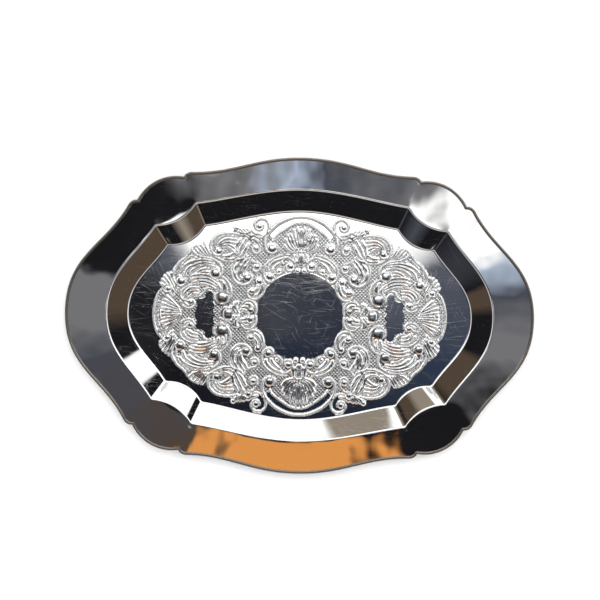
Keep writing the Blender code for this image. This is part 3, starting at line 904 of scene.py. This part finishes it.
def chasing_tree(material):
    tree = bpy.data.node_groups.new("chase_the_floor", "GeometryNodeTree")
    panel = tree.interface
    panel.new_socket("Geometry", in_out="INPUT", socket_type="NodeSocketGeometry")
    for name in ("Scrolls", "Flutes", "Eyes"):
        panel.new_socket(name, in_out="INPUT", socket_type="NodeSocketObject")
    for name in CHASING:
        panel.new_socket(name, in_out="INPUT", socket_type="NodeSocketFloat")
    panel.new_socket("Geometry", in_out="OUTPUT", socket_type="NodeSocketGeometry")
    given = add_node(tree, "NodeGroupInput").outputs

    position = add_node(tree, "GeometryNodeInputPosition")
    parts = add_node(tree, "ShaderNodeSeparateXYZ", {"Vector": position}).outputs
    folded = add_node(
        tree, "ShaderNodeCombineXYZ",
        {
            "X": add_node(tree, MATH, [parts["X"]], operation="ABSOLUTE"),
            "Y": add_node(tree, MATH, [parts["Y"]], operation="ABSOLUTE"), "Z": 0.0,
        },
    )

    scroll, scroll_share = punch(
        tree, folded, given["Scrolls"], given["Scroll Height"], "EDGES", LINE_PROFILE,
    )
    flute, flute_share = punch(tree, folded, given["Flutes"], given["Flute Height"], "EDGES", LINE_PROFILE)
    beside_scroll = add_node(
        tree, MAP_RANGE, {"Value": scroll_share, "From Min": SCROLL_OUTLINE_SHADE[1], "From Max": SCROLL_OUTLINE_SHADE[0]},
    )
    beside_flute = add_node(
        tree, MAP_RANGE, {"Value": flute_share, "From Min": FLUTE_OUTLINE_SHADE[1], "From Max": FLUTE_OUTLINE_SHADE[0]},
    )
    # The flat band beside the ridges, which the plate darkens as painted shade, with some tarnish.
    traced = add_node(
        tree, MATH,
        [beside_scroll, add_node(tree, MATH, [beside_flute, FLUTE_OUTLINE], operation="MULTIPLY")],
        operation="MAXIMUM",
    )
    eye, eye_share = punch(tree, folded, given["Eyes"], given["Eye Height"], "POINTS", EYE_PROFILE)
    in_eye = add_node(tree, MATH, [eye_share, 1.0], operation="LESS_THAN")
    lines = add_node(tree, MATH, [scroll, flute], operation="MAXIMUM")
    uneven = add_node(
        tree, NOISE, {"Vector": folded, "Scale": 1 / UNEVEN_SIZE, "Detail": 1.0},
    ).outputs["Fac"]
    raised = add_node(tree, MATH, [lines, LEAST_RELIEF], operation="GREATER_THAN")
    lines = add_node(
        tree, MATH,
        [add_node(tree, MATH, [uneven, raised], operation="MULTIPLY"), given["Unevenness"], lines],
        operation="MULTIPLY_ADD",
    )
    clear_of_eye = add_node(
        tree, MATH, [lines, add_node(tree, MATH, [1.0, in_eye], operation="SUBTRACT")],
        operation="MULTIPLY",
    )
    ridge = add_node(tree, MATH, [clear_of_eye, eye], operation="ADD")

    cuts = []
    for operation in ("ADD", "SUBTRACT"):
        across = add_node(
            tree, MATH, [add_node(tree, MATH, [parts["X"], parts["Y"]], operation=operation), math.sqrt(2)],
            operation="DIVIDE",
        )
        turns = add_node(tree, MATH, [across, given["Hatching Pitch"]], operation="DIVIDE")
        wave = add_node(
            tree, MATH, [add_node(tree, MATH, [turns, 2 * math.pi], operation="MULTIPLY")],
            operation="SINE",
        )
        cuts.append(
            add_node(
                tree, MATH,
                [add_node(tree, MATH, [wave, 0.5, 0.5], operation="MULTIPLY_ADD"), HATCHING_SHARPNESS],
                operation="POWER",
            ),
        )
    crossed = add_node(tree, MATH, cuts, operation="MAXIMUM")
    in_ground = add_node(tree, "GeometryNodeInputNamedAttribute", {"Name": "ground"}, data_type="FLOAT")
    bare = add_node(tree, MATH, [ridge, 0.0, LEAST_RELIEF], operation="COMPARE")
    hollow = add_node(
        tree, MATH, [bare, add_node(tree, MATH, [eye_share, given["Hollow Reach"]], operation="LESS_THAN")],
        operation="MULTIPLY",
    )
    polished = add_node(tree, MATH, [hollow, in_eye], operation="MAXIMUM")
    bare_ground = add_node(
        tree, MATH, [add_node(tree, MATH, [bare, hollow], operation="SUBTRACT", use_clamp=True), in_ground],
        operation="MULTIPLY",
    )
    sunk = add_node(
        tree, MATH,
        [
            bare_ground,
            add_node(
                tree, MATH,
                [
                    crossed, add_node(tree, MATH, [given["Hatching Depth"], -1.0], operation="MULTIPLY"),
                    add_node(tree, MATH, [given["Ground Depth"], -1.0], operation="MULTIPLY"),
                ],
                operation="MULTIPLY_ADD",
            ),
        ],
        operation="MULTIPLY",
    )
    relief = add_node(tree, MATH, [ridge, sunk], operation="ADD")

    on_top = add_node(tree, MATH, [parts["Z"], given["Floor Height"], FLOOR_TOLERANCE], operation="COMPARE")
    rise = add_node(tree, MATH, [relief, on_top], operation="MULTIPLY")

    geometry = given["Geometry"]
    is_chased = add_node(
        tree, MATH, [in_ground, add_node(tree, MATH, [ridge, LEAST_RELIEF], operation="GREATER_THAN")],
        operation="MAXIMUM",
    )
    # The band beside the ridges is stored for the plate's painted shade, with some tarnish.
    marks = {
        "hatched": bare_ground, "recess": add_node(tree, MATH, [traced, bare], operation="MULTIPLY"),
        "polished_eye": polished, "chased": is_chased,
    }
    for name, mark in marks.items():
        value = add_node(tree, MATH, [mark, on_top], operation="MULTIPLY")
        geometry = add_node(
            tree, "GeometryNodeStoreNamedAttribute", {"Geometry": geometry, "Name": name, "Value": value},
            data_type="FLOAT", domain="POINT",
        )
    offset = add_node(tree, "ShaderNodeCombineXYZ", {"Z": rise})
    geometry = add_node(tree, "GeometryNodeSetPosition", {"Geometry": geometry, "Offset": offset})
    geometry = add_node(tree, "GeometryNodeSetShadeSmooth", {"Geometry": geometry, "Shade Smooth": True})
    geometry = add_node(tree, "GeometryNodeRealizeInstances", {"Geometry": geometry})
    geometry = add_node(tree, "GeometryNodeSetMaterial", {"Geometry": geometry, "Material": material})
    add_node(tree, "NodeGroupOutput", {"Geometry": geometry})
    return tree


def finished(blank, tree, inputs, name):
    """Evaluate a Geometry Nodes tree on an object, and return the result as a plain mesh object."""
    modifier = blank.modifiers.new("made", "NODES")
    modifier.node_group = tree
    for socket in tree.interface.items_tree:
        if socket.in_out == "INPUT" and socket.name in inputs:
            modifier[socket.identifier] = inputs[socket.name]
    bpy.context.view_layer.update()
    evaluated = blank.evaluated_get(bpy.context.evaluated_depsgraph_get())
    mesh = bpy.data.meshes.new_from_object(evaluated)
    blank.modifiers.remove(modifier)
    bpy.data.objects.remove(blank)
    mesh.name = name
    piece = bpy.data.objects.new(name, mesh)
    bpy.context.scene.collection.objects.link(piece)
    return piece


# %% [markdown]
# ## The finishes
#
# Silver plate is a true mirror with a slightly warm white. Handling leaves hairline scratches in every
# direction, which show on the plain middle, and smudges that soften the reflection in patches. The chased
# parts are less polished, because a mop does not reach into them, and the crossed lines of the ground are
# cut too fine for the mesh, so they are a bump. A flat band beside each ridge is darkened as painted shade,
# with some tarnish. The wire round the edge has a darker grey colour, a painted dark reflection, and it is
# a little rougher.

# %% Colour from hex
def linear(hex_code):
    """An sRGB hex colour as linear values."""
    parts = [int(hex_code[start:start + 2], 16) / 255 for start in (0, 2, 4)]
    parts = [part / 12.92 if part <= 0.04045 else ((part + 0.055) / 1.055) ** 2.4 for part in parts]
    return (*parts, 1.0)


def new_material(name):
    material = bpy.data.materials.new(name)
    material.use_nodes = True
    tree = material.node_tree
    tree.nodes.clear()
    shader = add_node(tree, "ShaderNodeBsdfPrincipled")
    add_node(tree, "ShaderNodeOutputMaterial", {"Surface": shader.outputs[0]})
    return material, tree, shader


# %% Polished silver plate
# Electroplated silver over brass, buffed to a mirror. The chasing keeps a satin skin that the mop has
# only brushed. On the eye it is a mirror with soft, clouded patches, and a duller glow where the pattern
# is.
PLAIN_ROUGHNESS = 0.02
SATIN_ROUGHNESS = 0.17
EYE_ROUGHNESS = 0.12
SCRATCH_ROUGHNESS = 0.17
HAZE_ON_FLOOR = 0.05            # roughness of the worst smudge, and what the handled flange adds to it
HAZE_ON_FLANGE = 0.07
HAZE_PATCHINESS = 3.0           # a power: higher leaves fewer and smaller smudges
FLANGE_SPARED = 0.75            # share of the scratches that the flange goes without

SMUDGE_SCALE = 0.035            # scales of the noises, per mm
GRAIN_SCALE = 1.1
WAVE_SCALE = 0.022
RIPPLE_SCALE = 0.044
MATTING_HEIGHT = 0.08           # heights of the bumps, mm
CUT_DEPTH = 0.05
WAVE_HEIGHT = 0.14
RIPPLE_HEIGHT = 0.34
CUT_SHARPNESS = 4.0             # a power: higher gives narrower cuts
CUT_TARNISH = 0.12              # shares of the tarnish's colour
# The outline's share is painted shade beside each ridge, with some tarnish.
OUTLINE_SHADE_AND_TARNISH = 0.45
SILVER_COLOUR = "f4f4f2"
# The dark colour serves the tarnish in the cuts and the painted shade beside the ridges.
TARNISH_AND_SHADE_COLOUR = "5f6264"

# Each set of hairlines: its turn in degrees, length and width in mm, share of the area, and place in the
# noise
HAIRLINES = [
    (4, 26, 0.30, 0.27, 0), (-9, 34, 0.26, 0.26, 40), (63, 22, 0.28, 0.24, 90), (112, 18, 0.26, 0.24, 150),
    (31, 30, 0.24, 0.24, 210),
]
HAIRLINE_EDGE = 0.06


def hairlines(tree, place, turn, length, width, share, shift):
    """Fine straight scratches in one direction, in mm: long in one way, thin in the other, and rare."""
    turned = add_node(
        tree, MAPPING,
        {"Vector": place, "Rotation": (0.0, 0.0, math.radians(turn)), "Location": (shift, 0.0, 0.0)},
    )
    scaled = add_node(tree, MAPPING, {"Vector": turned, "Scale": (1 / length, 1 / width, 1 / length)})
    noise = add_node(tree, NOISE, {"Vector": scaled, "Scale": 1.0, "Detail": 0.0}).outputs["Fac"]
    return add_node(
        tree, MAP_RANGE, {"Value": noise, "From Min": 1 - share, "From Max": 1 + HAIRLINE_EDGE - share},
    )


material, tree, shader = new_material("polished_silver_plate")
silver_plate = material
place = add_node(
    tree, MAPPING,
    {"Vector": add_node(tree, "ShaderNodeTexCoord").outputs["Object"], "Scale": (1 / MM, 1 / MM, 1 / MM)},
)
chased, hatched, polished_eye, recess, flange = (
    add_node(tree, "ShaderNodeAttribute", attribute_name=name).outputs["Fac"]
    for name in ("chased", "hatched", "polished_eye", "recess", "flange")
)

smudge = add_node(tree, NOISE, {"Vector": place, "Scale": SMUDGE_SCALE, "Detail": 3.0}).outputs["Fac"]
scratches = 0.0
for turn, length, width, share, shift in HAIRLINES:
    scratches = add_node(
        tree, MATH, [hairlines(tree, place, turn, length, width, share, shift), scratches],
        operation="MAXIMUM",
    )
plain = add_node(tree, MATH, [1.0, chased], operation="SUBTRACT")
rubbed = add_node(
    tree, MATH, [plain, add_node(tree, MATH, [flange, FLANGE_SPARED], operation="MULTIPLY")],
    operation="SUBTRACT",
)
plain_scratches = add_node(tree, MATH, [scratches, rubbed], operation="MULTIPLY")

satin = add_node(tree, MATH, [chased, SATIN_ROUGHNESS - PLAIN_ROUGHNESS], operation="MULTIPLY")
haze_strength = add_node(tree, MATH, [flange, HAZE_ON_FLANGE, HAZE_ON_FLOOR], operation="MULTIPLY_ADD")
hazed = add_node(
    tree, MATH, [add_node(tree, MATH, [smudge, HAZE_PATCHINESS], operation="POWER"), haze_strength],
    operation="MULTIPLY",
)
marked = add_node(tree, MATH, [plain_scratches, SCRATCH_ROUGHNESS], operation="MULTIPLY")
roughness = add_node(
    tree, MATH,
    [
        add_node(tree, MATH, [satin, hazed], operation="ADD"),
        add_node(tree, MATH, [marked, PLAIN_ROUGHNESS], operation="ADD"),
    ],
    operation="ADD",
)
roughness = add_node(tree, MIX, {"Factor": polished_eye, 2: roughness, 3: EYE_ROUGHNESS}, data_type="FLOAT")
tree.links.new(roughness.outputs[0], shader.inputs["Roughness"])

# Crossed lines cut into the ground, and the punch marks between them
cut_lines = []
for turn in (45, -45):
    turned = add_node(tree, MAPPING, {"Vector": place, "Rotation": (0.0, 0.0, math.radians(turn))})
    across = add_node(tree, "ShaderNodeSeparateXYZ", {"Vector": turned}).outputs["X"]
    wave = add_node(
        tree, MATH, [add_node(tree, MATH, [across, 2 * math.pi / HATCHING_PITCH], operation="MULTIPLY")],
        operation="SINE",
    )
    cut_lines.append(
        add_node(
            tree, MATH, [add_node(tree, MATH, [wave, 0.5, 0.5], operation="MULTIPLY_ADD"), CUT_SHARPNESS],
            operation="POWER",
        ),
    )
cuts = add_node(
    tree, MATH, [add_node(tree, MATH, [cut_lines[0], cut_lines[1]], operation="MAXIMUM"), hatched],
    operation="MULTIPLY",
)
grain = add_node(tree, NOISE, {"Vector": place, "Scale": GRAIN_SCALE, "Detail": 3.0}).outputs["Fac"]
matting = add_node(tree, MATH, [grain, hatched], operation="MULTIPLY")
height = add_node(
    tree, MATH,
    [
        add_node(tree, MATH, [matting, MATTING_HEIGHT], operation="MULTIPLY"),
        add_node(tree, MATH, [cuts, -CUT_DEPTH], operation="MULTIPLY"),
    ],
    operation="ADD",
)
waves = add_node(tree, NOISE, {"Vector": place, "Scale": WAVE_SCALE, "Detail": 1.0}).outputs["Fac"]
height = add_node(tree, MATH, [waves, WAVE_HEIGHT, height], operation="MULTIPLY_ADD")
ripples = add_node(tree, NOISE, {"Vector": place, "Scale": RIPPLE_SCALE, "Detail": 1.0}).outputs["Fac"]
height = add_node(
    tree, MATH, [add_node(tree, MATH, [ripples, flange], operation="MULTIPLY"), RIPPLE_HEIGHT, height],
    operation="MULTIPLY_ADD",
)
bump = add_node(tree, "ShaderNodeBump", {"Height": height, "Distance": MM, "Strength": 1.0})
tree.links.new(bump.outputs[0], shader.inputs["Normal"])

# Silver is a slightly warm white; a trace of tarnish stays in the cuts, and the flat band beside each ridge
# is darkened as painted shade, with some tarnish
tarnish_and_shade = add_node(
    tree, MATH,
    [
        add_node(tree, MATH, [cuts, CUT_TARNISH], operation="MULTIPLY"),
        add_node(tree, MATH, [recess, OUTLINE_SHADE_AND_TARNISH], operation="MULTIPLY"),
    ],
    operation="MAXIMUM",
)
colour = add_node(
    tree, MIX, {"Factor": tarnish_and_shade, 6: linear(SILVER_COLOUR), 7: linear(TARNISH_AND_SHADE_COLOUR)}, data_type="RGBA",
).outputs[2]
tree.links.new(colour, shader.inputs["Base Color"])
shader.inputs["Metallic"].default_value = 1.0

# %% Darkened silver plate on the wire
# The wire's colour is a darker grey-brown than the plate, a painted dark reflection, so that on the eye it is
# a greyer, softer line that frames the bright flange.
material, tree, shader = new_material("darkened_silver_wire")
darkened_wire = material
shader.inputs["Base Color"].default_value = linear("857e76")
shader.inputs["Metallic"].default_value = 1.0
shader.inputs["Roughness"].default_value = 0.16

# %% Chase the sheet
SHARP_ANGLE = math.radians(50)
for guide in (scroll_guide, flute_guide, eye_guide):
    bpy.context.scene.collection.objects.link(guide)
sheet = finished(
    sheet_blank, chasing_tree(silver_plate),
    {**CHASING, "Scrolls": scroll_guide, "Flutes": flute_guide, "Eyes": eye_guide},
    "pressed_sheet",
)
for guide in (scroll_guide, flute_guide, eye_guide):
    bpy.data.objects.remove(guide)
sheet.data.set_sharp_from_angle(angle=SHARP_ANGLE)
heights = [vertex.co.z for vertex in sheet.data.vertices]
print("sheet:", len(sheet.data.polygons), "faces, from", round(min(heights) / MM, 2), "to",
      round(max(heights) / MM, 2), "mm")

# %% [markdown]
# ## The border wire
#
# The wire is D-shaped, flat side down, and its eight lengths meet in mitres at the corners of the edge.
# Each length follows the edge, so it is swept along it by Geometry Nodes. A plain sweep would twist and
# would cut its ends square, so every point of the path also carries the way across the wire, along the
# mitre at a corner, and the swept profile is laid out again along that.

# %% The tree that sweeps the wire
WIRE_WIDTH = 2.2 * MM
WIRE_HEIGHT = 1.3 * MM
WIRE_PROFILE_STEPS = 10
WIRE_FULLNESS = 0.8             # a power: lower gives a squarer back
WIRE = {"Height": WIRE_HEIGHT}


def profile_object():
    """Half of a circle as a closed line, with its place across and up the wire at each point."""
    angles = np.linspace(0, math.pi, WIRE_PROFILE_STEPS + 1)
    across = [(1 - math.cos(angle)) / 2 for angle in angles]
    height = [0.0, *(math.sin(angle) ** WIRE_FULLNESS for angle in angles[1:-1]), 0.0]
    count = len(angles)
    mesh = bpy.data.meshes.new("wire_profile")
    mesh.from_pydata(
        [(MM * share, MM * rise, 0.0) for share, rise in zip(across, height)],
        [(index, (index + 1) % count) for index in range(count)], [],
    )
    mesh.attributes.new("share_across", "FLOAT", "POINT").data.foreach_set("value", across)
    mesh.attributes.new("share_up", "FLOAT", "POINT").data.foreach_set("value", height)
    return bpy.data.objects.new("wire_profile", mesh)


def path_object(name, outer, inner):
    """The wire's outer foot as a line that carries its own place and the way across to the inner foot."""
    mesh = bpy.data.meshes.new(name)
    mesh.from_pydata(
        [tuple(point) for point in outer], [(index, index + 1) for index in range(len(outer) - 1)], [],
    )
    foot = mesh.attributes.new("foot", "FLOAT_VECTOR", "POINT")
    foot.data.foreach_set("vector", np.array(outer, np.float32).ravel())
    way = mesh.attributes.new("way_across", "FLOAT_VECTOR", "POINT")
    way.data.foreach_set("vector", (np.array(inner) - np.array(outer)).astype(np.float32).ravel())
    path = bpy.data.objects.new(name, mesh)
    bpy.context.scene.collection.objects.link(path)
    return path


def wire_tree(material):
    tree = bpy.data.node_groups.new("sweep_the_wire", "GeometryNodeTree")
    panel = tree.interface
    panel.new_socket("Geometry", in_out="INPUT", socket_type="NodeSocketGeometry")
    panel.new_socket("Profile", in_out="INPUT", socket_type="NodeSocketObject")
    panel.new_socket("Height", in_out="INPUT", socket_type="NodeSocketFloat")
    panel.new_socket("Geometry", in_out="OUTPUT", socket_type="NodeSocketGeometry")
    given = add_node(tree, "NodeGroupInput").outputs
    path = add_node(tree, "GeometryNodeMeshToCurve", {"Mesh": given["Geometry"]})
    info = add_node(tree, "GeometryNodeObjectInfo", {"Object": given["Profile"]})
    profile = add_node(tree, "GeometryNodeMeshToCurve", {"Mesh": info.outputs["Geometry"]})
    swept = add_node(
        tree, "GeometryNodeCurveToMesh", {"Curve": path, "Profile Curve": profile, "Fill Caps": True},
    )

    way_across, share_across, share_up, foot = (
        add_node(tree, "GeometryNodeInputNamedAttribute", {"Name": name}, data_type=kind)
        for name, kind in (
            ("way_across", "FLOAT_VECTOR"), ("share_across", "FLOAT"), ("share_up", "FLOAT"),
            ("foot", "FLOAT_VECTOR"),
        )
    )
    across = add_node(tree, VECTOR_MATH, {"Vector": way_across, "Scale": share_across}, operation="SCALE")
    up = add_node(
        tree, "ShaderNodeCombineXYZ",
        {"Z": add_node(tree, MATH, [share_up, given["Height"]], operation="MULTIPLY")},
    )
    place = add_node(tree, VECTOR_MATH, {0: across, 1: up}, operation="ADD")
    place = add_node(tree, VECTOR_MATH, {0: place, 1: foot}, operation="ADD")
    geometry = add_node(tree, "GeometryNodeSetPosition", {"Geometry": swept, "Position": place})
    geometry = add_node(tree, "GeometryNodeSetShadeSmooth", {"Geometry": geometry, "Shade Smooth": True})
    geometry = add_node(tree, "GeometryNodeRealizeInstances", {"Geometry": geometry})
    geometry = add_node(tree, "GeometryNodeSetMaterial", {"Geometry": geometry, "Material": material})
    add_node(tree, "NodeGroupOutput", {"Geometry": geometry})
    return tree


# %% Sweep the eight lengths
def flange_height(outer, inner, lip):
    """Heights of the flange's top under the wire's inner foot."""
    span = np.linalg.norm(lip - outer, axis=1)
    return EDGE_TOP + FLANGE_FALL * np.linalg.norm(inner - outer, axis=1) / span


def wire_ends():
    """The eight steps of the ring where two lengths meet: the two notches of each quarter."""
    side = SIDE_STEPS + CORNER_STEPS // 2
    end = side + CORNER_STEPS + LOBE_STEPS
    half = len(rim_ring) // 2
    return [side, end, half - end, half - side, half + side, half + end, 2 * half - end, 2 * half - side]


WIRE_NAMES = ("back_right", "right", "front_right", "front", "front_left", "left", "back_left", "back")


def make_wires():
    count = len(rim_ring)
    outer = np.array(rim_ring)
    inner = grown(rim_ring, -WIRE_WIDTH)
    outer_foot = at_height(rim_ring, EDGE_TOP)
    inner_foot = np.column_stack([inner, flange_height(outer, inner, np.array(lip_ring))])
    profile = profile_object()
    bpy.context.scene.collection.objects.link(profile)
    tree = wire_tree(darkened_wire)
    ends = wire_ends()
    wires = {}
    for name, start, end in zip(WIRE_NAMES, ends, ends[1:] + ends[:1]):
        steps = [(start + step) % count for step in range((end - start) % count + 1)]
        path = path_object("path_" + name, outer_foot[steps], inner_foot[steps])
        wire = finished(path, tree, {**WIRE, "Profile": profile}, "wire_" + name)
        wire.data.set_sharp_from_angle(angle=SHARP_ANGLE)
        wires[name] = wire
    bpy.data.objects.remove(profile)
    return wires


wires = make_wires()
for name, wire in wires.items():
    print("wire", name, len(wire.data.polygons), "faces")

# %% Ride the pieces on the frame
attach(sheet, "root")
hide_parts("tray_body")
for name, wire in wires.items():
    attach(wire, "root")
    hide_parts("border_wire_" + name)

# %% [markdown]
# ## The floor and the light
#
# A mirror shows only what stands round it, so the light is what gives the tray its look. The room is
# drawn as eight rings round the sky, each with its own colours all the way round. The flat floor looks
# into the inner rings, the flange leans out and looks into the ones beyond, the chased pattern glances
# over the middle ones, and the wall and the wire see the low rings near the horizon. The lamp only lights
# the floor and lays the tray's soft shadow on it.

# %% The floor
# A pale matt board. It gives the eye a clean edge for the bright metal to stand against.
BOARD_HALF = 3.0
BOARD_ROUGHNESS = 0.9


def add_stage():
    half = BOARD_HALF
    mesh = bpy.data.meshes.new("stage_floor")
    mesh.from_pydata(
        [(-half, -half, 0), (half, -half, 0), (half, half, 0), (-half, half, 0)], [], [(0, 1, 2, 3)],
    )
    material, tree, shader = new_material("pale_floor")
    shader.inputs["Base Color"].default_value = linear("f4f4f4")
    shader.inputs["Roughness"].default_value = BOARD_ROUGHNESS
    mesh.materials.append(material)
    stage = bpy.data.objects.new("stage_floor", mesh)
    bpy.context.scene.collection.objects.link(stage)


add_stage()

# %% The room that the mirror sees
# The room's few colours. Each ring is a short list of azimuths, in degrees counted from +X over +Y, and one of
# these colours at each. They are broad patches of a plausible room: a window at the back right, dark walls, and a
# wooden table in front.
WINDOW = "ffffff"
PALE = "d8dade"
SKY = "a4b0c4"
MIDDLE_GREY = "a8a8a8"
GREY = "707074"
DUSK = "44464f"
NIGHT_BLUE = "242c3c"
DARK = "18181b"
STONE = "8a8074"
UMBER = "4c4036"
WOOD = "d8904c"

INNER_CROWN = [(0, NIGHT_BLUE), (90, DUSK), (180, DARK), (360, NIGHT_BLUE)]
CROWN = [
    (0, NIGHT_BLUE), (30, DUSK), (45, WINDOW), (120, WINDOW), (135, DUSK), (150, DARK), (180, DARK),
    (320, DARK), (360, NIGHT_BLUE),
]
FLANGE_RING = [
    (0, GREY), (15, DUSK), (30, SKY), (35, WINDOW), (50, WINDOW), (60, GREY), (80, DUSK), (90, SKY),
    (100, GREY), (120, DARK), (150, DARK), (155, GREY), (180, GREY), (200, DUSK), (250, UMBER), (255, WOOD),
    (290, WOOD), (295, DARK), (330, DARK), (345, GREY), (360, GREY),
]
TABLE_FROM, TABLE_TO = 250, 295     # the azimuths of the wooden table, which only the flange may mirror
INNER_FLANGE_RING = [stop for stop in FLANGE_RING if not TABLE_FROM < stop[0] < TABLE_TO]
SHOULDER_RING = [
    (0, GREY), (30, PALE), (105, PALE), (115, GREY), (130, DARK), (160, DARK), (180, GREY), (270, MIDDLE_GREY),
    (330, DUSK), (360, GREY),
]
UPPER_RING = [(0, PALE), (40, WINDOW), (140, WINDOW), (180, MIDDLE_GREY), (330, MIDDLE_GREY), (360, PALE)]
MIDDLE_RING = [
    (0, MIDDLE_GREY), (40, PALE), (70, MIDDLE_GREY), (95, PALE), (140, PALE), (165, GREY), (180, MIDDLE_GREY),
    (240, GREY), (275, MIDDLE_GREY), (310, GREY), (360, MIDDLE_GREY),
]
HORIZON = [
    (0, UMBER), (20, DARK), (40, DARK), (41, WINDOW), (95, WINDOW), (96, STONE), (115, STONE), (125, UMBER),
    (140, UMBER), (145, DARK), (180, DARK), (190, UMBER), (205, UMBER), (210, DARK), (235, DUSK), (255, DARK),
    (285, DARK), (300, STONE), (315, UMBER), (360, UMBER),
]
# Each ring: its name, its colours, its strength, and where it starts, in degrees from straight up.
RINGS = [("inner crown", INNER_CROWN, 1.0, 1.0), ("crown", CROWN, 1.7, 4.8),
         ("inner flange ring", INNER_FLANGE_RING, 1.15, 14.4), ("flange ring", FLANGE_RING, 1.15, 17.0),
         ("shoulder ring", SHOULDER_RING, 1.15, 23.8), ("upper ring", UPPER_RING, 2.0, 28.5),
         ("middle ring", MIDDLE_RING, 1.1, 47.0), ("horizon", HORIZON, 1.18, 63.0)]
RING_SOFTNESS = 0.8             # degrees over which one ring gives way to the next
RING_LEAN = (1.6, 1.9)          # degrees by which the outer rings lean towards +X and +Y
LEAN_FROM, LEAN_FULL = 6.0, 13.0    # degrees from straight up
ZENITH = NIGHT_BLUE
BACKDROP = "f6f6f6"


def half_ring(tree, azimuth, stops, start):
    ramp = add_node(
        tree, "ShaderNodeValToRGB",
        {
            "Fac": add_node(
                tree, MATH, [add_node(tree, MATH, [azimuth, start], operation="SUBTRACT"), 180.0],
                operation="DIVIDE", use_clamp=True,
            ),
        },
    )
    elements = ramp.color_ramp.elements
    while len(elements) < len(stops):
        elements.new(0.5)
    for element, (degrees, colour) in zip(elements, stops):
        element.position = (degrees - start) / 180
        element.color = linear(colour)
    return ramp.outputs["Color"]


def ring(tree, azimuth, stops):
    """A ring's colour by azimuth, from one ramp for each half, because a ramp holds 32 stops."""
    far = half_ring(tree, azimuth, [stop for stop in stops if stop[0] <= 180], 0)
    near = half_ring(tree, azimuth, [stop for stop in stops if stop[0] >= 180], 180)
    past = add_node(tree, MATH, [azimuth, 180.0], operation="GREATER_THAN")
    return add_node(tree, MIX, {"Factor": past, 6: far, 7: near}, data_type="RGBA").outputs[2]


def add_room():
    world = bpy.data.worlds.new("studio")
    bpy.context.scene.world = world
    world.use_nodes = True
    tree = world.node_tree
    tree.nodes.clear()
    direction = add_node(tree, "ShaderNodeTexCoord").outputs["Generated"]
    parts = add_node(tree, "ShaderNodeSeparateXYZ", {"Vector": direction}).outputs
    polar = add_node(
        tree, MATH, [add_node(tree, MATH, [parts["Z"]], operation="ARCCOSINE")], operation="DEGREES",
    )
    signed = add_node(
        tree, MATH, [add_node(tree, MATH, [parts["Y"], parts["X"]], operation="ARCTAN2")],
        operation="DEGREES",
    )
    azimuth = add_node(tree, MATH, [signed, 360.0], operation="FLOORED_MODULO")
    turn = add_node(tree, MATH, [azimuth], operation="RADIANS")
    lean = add_node(
        tree, MATH,
        [
            add_node(
                tree, MATH, [add_node(tree, MATH, [turn], operation="COSINE"), RING_LEAN[0]],
                operation="MULTIPLY",
            ),
            add_node(
                tree, MATH, [add_node(tree, MATH, [turn], operation="SINE"), RING_LEAN[1]],
                operation="MULTIPLY",
            ),
        ],
        operation="ADD",
    )
    outward = add_node(tree, MAP_RANGE, {"Value": polar, "From Min": LEAN_FROM, "From Max": LEAN_FULL})
    polar = add_node(
        tree, MATH, [polar, add_node(tree, MATH, [lean, outward], operation="MULTIPLY")],
        operation="SUBTRACT",
    )
    colour = linear(ZENITH)
    for name, stops, strength, start in RINGS:
        ring_colour = ring(tree, azimuth, stops)
        lit = add_node(tree, VECTOR_MATH, {"Vector": ring_colour, "Scale": strength}, operation="SCALE")
        share = add_node(
            tree, MAP_RANGE,
            {"Value": polar, "From Min": start - RING_SOFTNESS, "From Max": start + RING_SOFTNESS},
            interpolation_type="SMOOTHSTEP",
        )
        colour = add_node(tree, MIX, {"Factor": share, 6: colour, 7: lit}, data_type="RGBA").outputs[2]
    room = add_node(tree, "ShaderNodeBackground", {"Color": colour, "Strength": 1.0})
    backdrop = add_node(tree, "ShaderNodeBackground", {"Color": linear(BACKDROP), "Strength": 1.0})
    seen = add_node(tree, "ShaderNodeLightPath").outputs["Is Camera Ray"]
    mixed = add_node(tree, "ShaderNodeMixShader", {0: seen, 1: room, 2: backdrop})
    add_node(tree, "ShaderNodeOutputWorld", {"Surface": mixed})


add_room()
bpy.context.scene.view_settings.view_transform = "Standard"

# %% The soft lamp over the floor
LAMP_SIZE = 2.5
LAMP_POWER = 38.0
LAMP_HEIGHT = 1.8


def add_lamp():
    lamp = bpy.data.lights.new("overhead_softbox", "AREA")
    lamp.shape = "DISK"
    lamp.size = LAMP_SIZE
    lamp.energy = LAMP_POWER
    holder = bpy.data.objects.new("overhead_softbox", lamp)
    holder.location = (0, 0, LAMP_HEIGHT)
    holder.visible_glossy = False
    bpy.context.scene.collection.objects.link(holder)


add_lamp()
